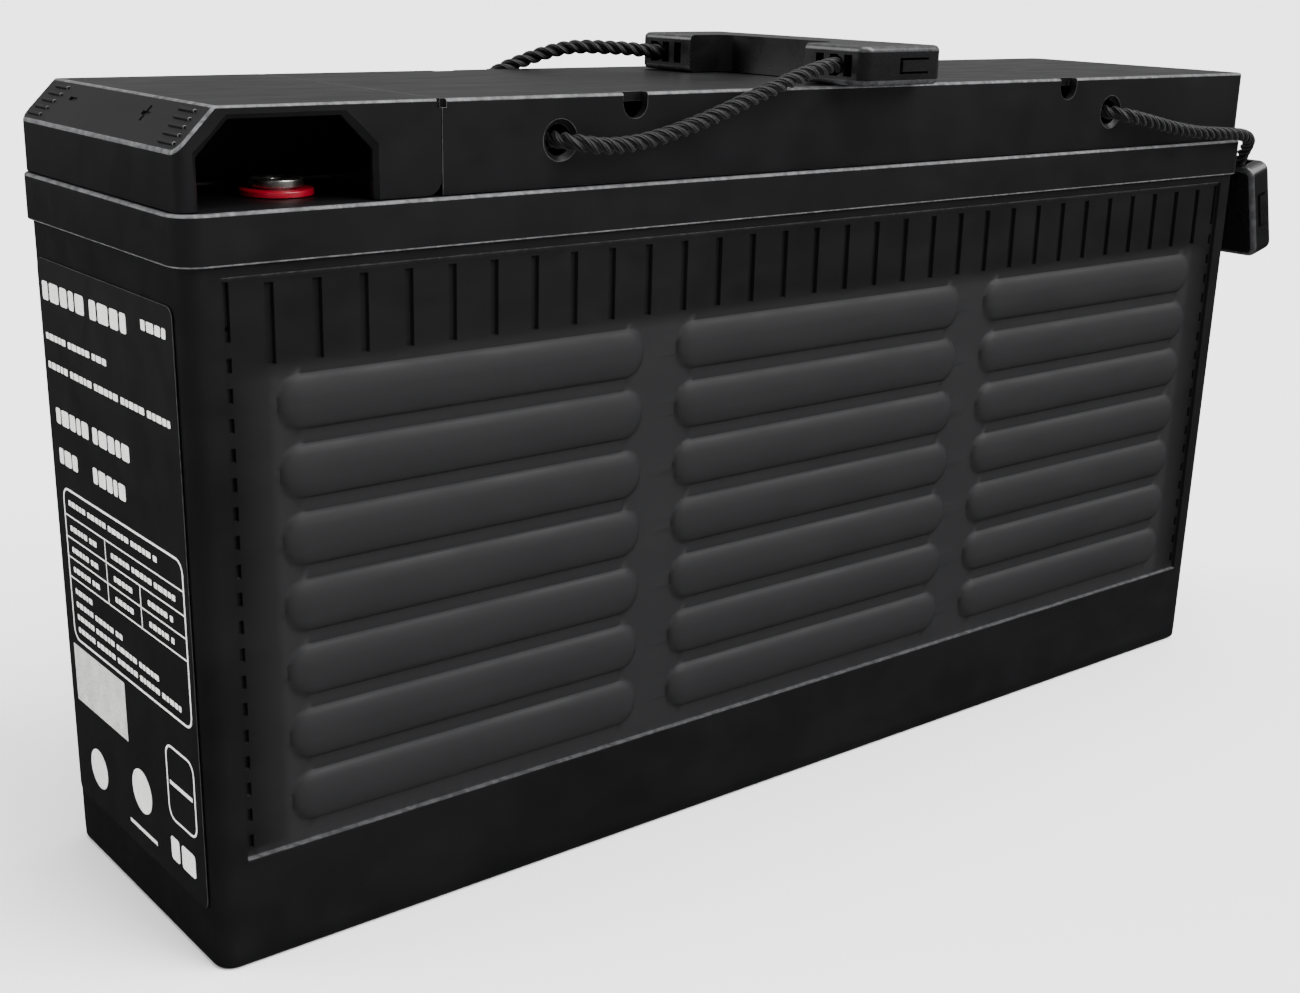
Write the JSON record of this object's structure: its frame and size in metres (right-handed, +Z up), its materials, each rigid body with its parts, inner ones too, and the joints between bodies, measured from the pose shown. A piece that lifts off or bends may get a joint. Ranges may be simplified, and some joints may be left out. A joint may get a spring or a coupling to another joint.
{
  "type": "deep cycle battery",
  "caption": "Slim black sealed lead-acid battery with ribbed sides, front terminals under a lift-off cover and rope carry handles.",
  "frame": {"origin": "the middle of the container's flat underside", "axes": "+X along the battery from its terminal end to its rear end, +Y across it to its far side, +Z up"},
  "size_m": [0.4843, 0.127, 0.2527],
  "materials": {
    "case_black": "satin moulded plastic",
    "cover_black": "satin moulded plastic",
    "grip_black": "smooth moulded plastic",
    "rope_black": "twisted three-strand rope",
    "label_black": "printed film",
    "positive_red": "cast resin ring",
    "negative_black": "cast resin ring",
    "tinned_metal": "tinned",
    "rubber_black": "moulded rubber",
    "positive_plate": "brown pasted plate",
    "negative_plate": "grey pasted plate",
    "glass_mat": "glass fibre mat",
    "lead": "cast",
    "strip_grey": "moulded plastic"
  },
  "bodies": {
    "battery": {"container": "case_black", "lid": "case_black", "top_cover": "cover_black", "positive_terminal": "tinned_metal", "negative_terminal": "tinned_metal", "positive_seal_ring": "positive_red", "negative_seal_ring": "negative_black", "positive_o_ring": "rubber_black", "negative_o_ring": "rubber_black", "valve_strip": "strip_grey", "front_label": "label_black", "cell_1_positive_plates": "positive_plate", "cell_1_negative_plates": "negative_plate", "cell_1_separators": "glass_mat", "cell_2_positive_plates": "positive_plate", "cell_2_negative_plates": "negative_plate", "cell_2_separators": "glass_mat", "cell_3_positive_plates": "positive_plate", "cell_3_negative_plates": "negative_plate", "cell_3_separators": "glass_mat", "cell_4_positive_plates": "positive_plate", "cell_4_negative_plates": "negative_plate", "cell_4_separators": "glass_mat", "cell_5_positive_plates": "positive_plate", "cell_5_negative_plates": "negative_plate", "cell_5_separators": "glass_mat", "cell_6_positive_plates": "positive_plate", "cell_6_negative_plates": "negative_plate", "cell_6_separators": "glass_mat", "intercell_link_1": "lead", "intercell_link_2": "lead", "intercell_link_3": "lead", "intercell_link_4": "lead", "intercell_link_5": "lead"},
    "terminal_cover": {"terminal_cover": "cover_black"},
    "front_handle": {"front_rope": "rope_black", "front_grip": "grip_black"},
    "rear_handle": {"rear_rope": "rope_black", "rear_grip": "grip_black"},
    "valve_1": {"safety_valve_1": "rubber_black"},
    "valve_2": {"safety_valve_2": "rubber_black"},
    "valve_3": {"safety_valve_3": "rubber_black"},
    "valve_4": {"safety_valve_4": "rubber_black"},
    "valve_5": {"safety_valve_5": "rubber_black"},
    "valve_6": {"safety_valve_6": "rubber_black"}
  },
  "joints": [
    {"name": "terminal_cover_lift", "type": "slide", "parent": "battery", "child": "terminal_cover", "axis": [0, 0, 1], "range_m": [0, 0.05]},
    {"name": "front_handle_swing", "type": "hinge", "parent": "battery", "child": "front_handle", "pos_m": [-0.1103, 0, 0.2274], "axis": [0, -1, 0], "range_deg": [0, 100]},
    {"name": "rear_handle_swing", "type": "hinge", "parent": "battery", "child": "rear_handle", "pos_m": [0.1402, 0, 0.2274], "axis": [0, -1, 0], "range_deg": [0, 160]},
    {"name": "valve_1_vent", "type": "slide", "parent": "battery", "child": "valve_1", "axis": [0, 0, 1], "range_m": [0, 0.001], "stiffness_N_per_m": 400, "springref_m": -0.001},
    {"name": "valve_2_vent", "type": "slide", "parent": "battery", "child": "valve_2", "axis": [0, 0, 1], "range_m": [0, 0.001], "stiffness_N_per_m": 400, "springref_m": -0.001},
    {"name": "valve_3_vent", "type": "slide", "parent": "battery", "child": "valve_3", "axis": [0, 0, 1], "range_m": [0, 0.001], "stiffness_N_per_m": 400, "springref_m": -0.001},
    {"name": "valve_4_vent", "type": "slide", "parent": "battery", "child": "valve_4", "axis": [0, 0, 1], "range_m": [0, 0.001], "stiffness_N_per_m": 400, "springref_m": -0.001},
    {"name": "valve_5_vent", "type": "slide", "parent": "battery", "child": "valve_5", "axis": [0, 0, 1], "range_m": [0, 0.001], "stiffness_N_per_m": 400, "springref_m": -0.001},
    {"name": "valve_6_vent", "type": "slide", "parent": "battery", "child": "valve_6", "axis": [0, 0, 1], "range_m": [0, 0.001], "stiffness_N_per_m": 400, "springref_m": -0.001}
  ]
}
